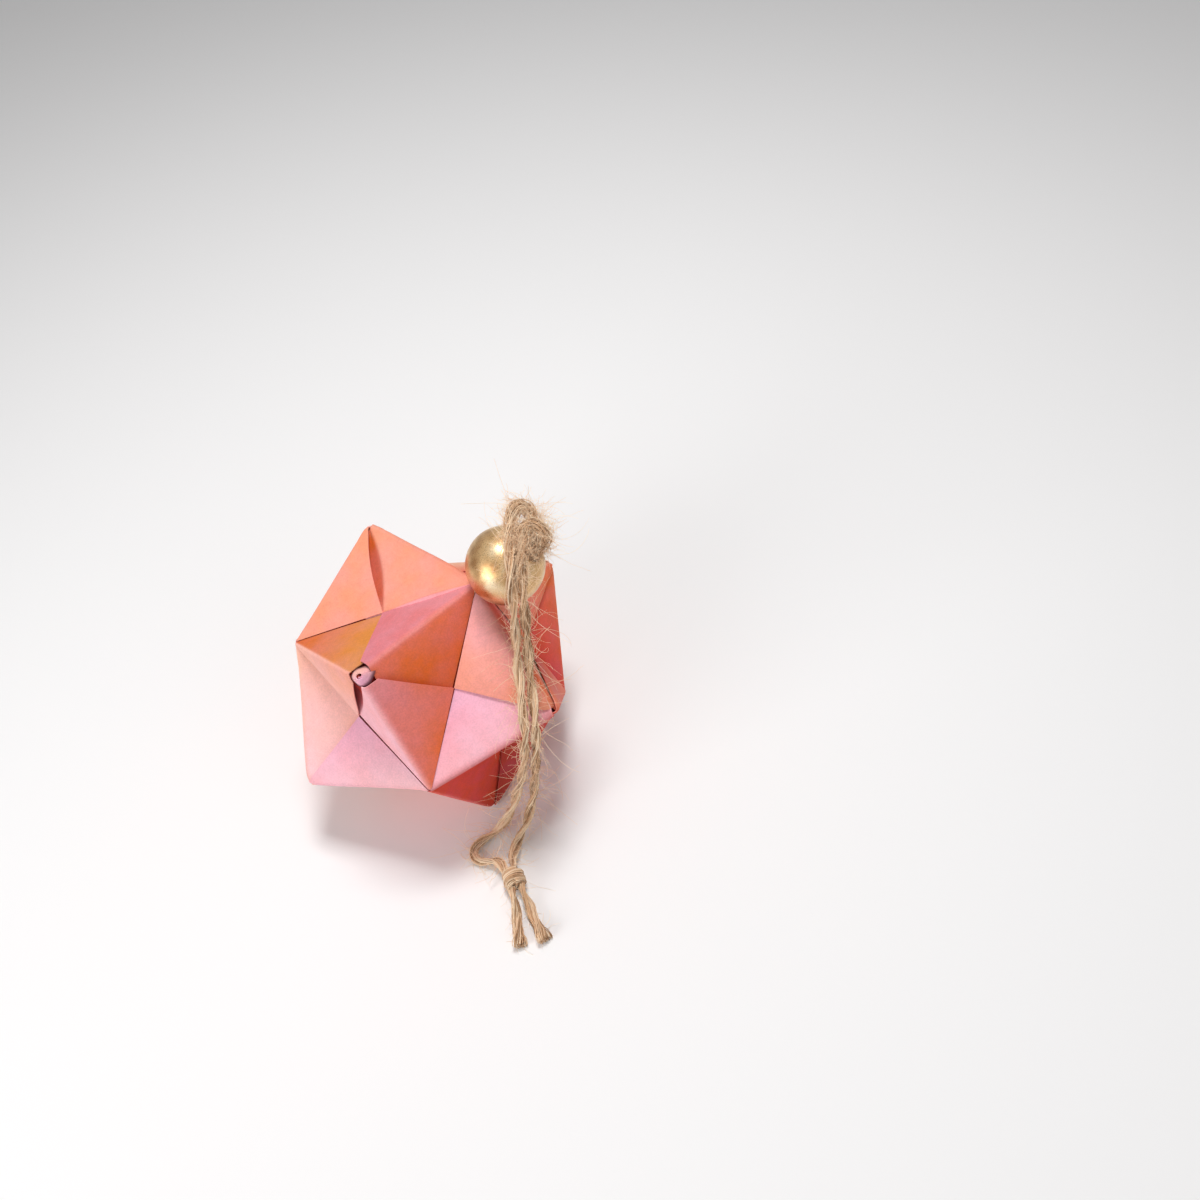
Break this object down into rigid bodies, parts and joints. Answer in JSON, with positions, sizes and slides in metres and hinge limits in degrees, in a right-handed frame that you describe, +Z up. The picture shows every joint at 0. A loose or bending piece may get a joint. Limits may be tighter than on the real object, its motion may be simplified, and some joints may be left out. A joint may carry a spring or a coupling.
{
  "type": "modular paper ball ornament",
  "caption": "Spiky folded-paper ball of interlocked pocket-and-tab units, with a round metallic bead and a knotted loop of jute twine.",
  "frame": {"origin": "on the table, straight under the centre of the paper ball as it rests on three of its tips", "axes": "+Z up; +Y across the ball, away from the side where the twine falls to the table; +X to the right, towards the side where the bead leans"},
  "size_m": [0.0543, 0.073, 0.0619],
  "materials": {
    "painted_paper": "matt hand-painted craft paper",
    "gold_bead": "satin metallic gold paint",
    "jute_twine": "hairy two-ply jute"
  },
  "bodies": {
    "root": {"paper_unit_01": "painted_paper", "paper_unit_02": "painted_paper", "paper_unit_03": "painted_paper", "paper_unit_04": "painted_paper", "paper_unit_05": "painted_paper", "paper_unit_06": "painted_paper", "paper_unit_07": "painted_paper", "paper_unit_08": "painted_paper", "paper_unit_09": "painted_paper", "paper_unit_10": "painted_paper", "paper_unit_11": "painted_paper", "paper_unit_12": "painted_paper", "bead": "gold_bead", "inner_twine": "jute_twine", "left_strand": "jute_twine", "right_strand": "jute_twine", "end_knot": "jute_twine"}
  },
  "joints": []
}
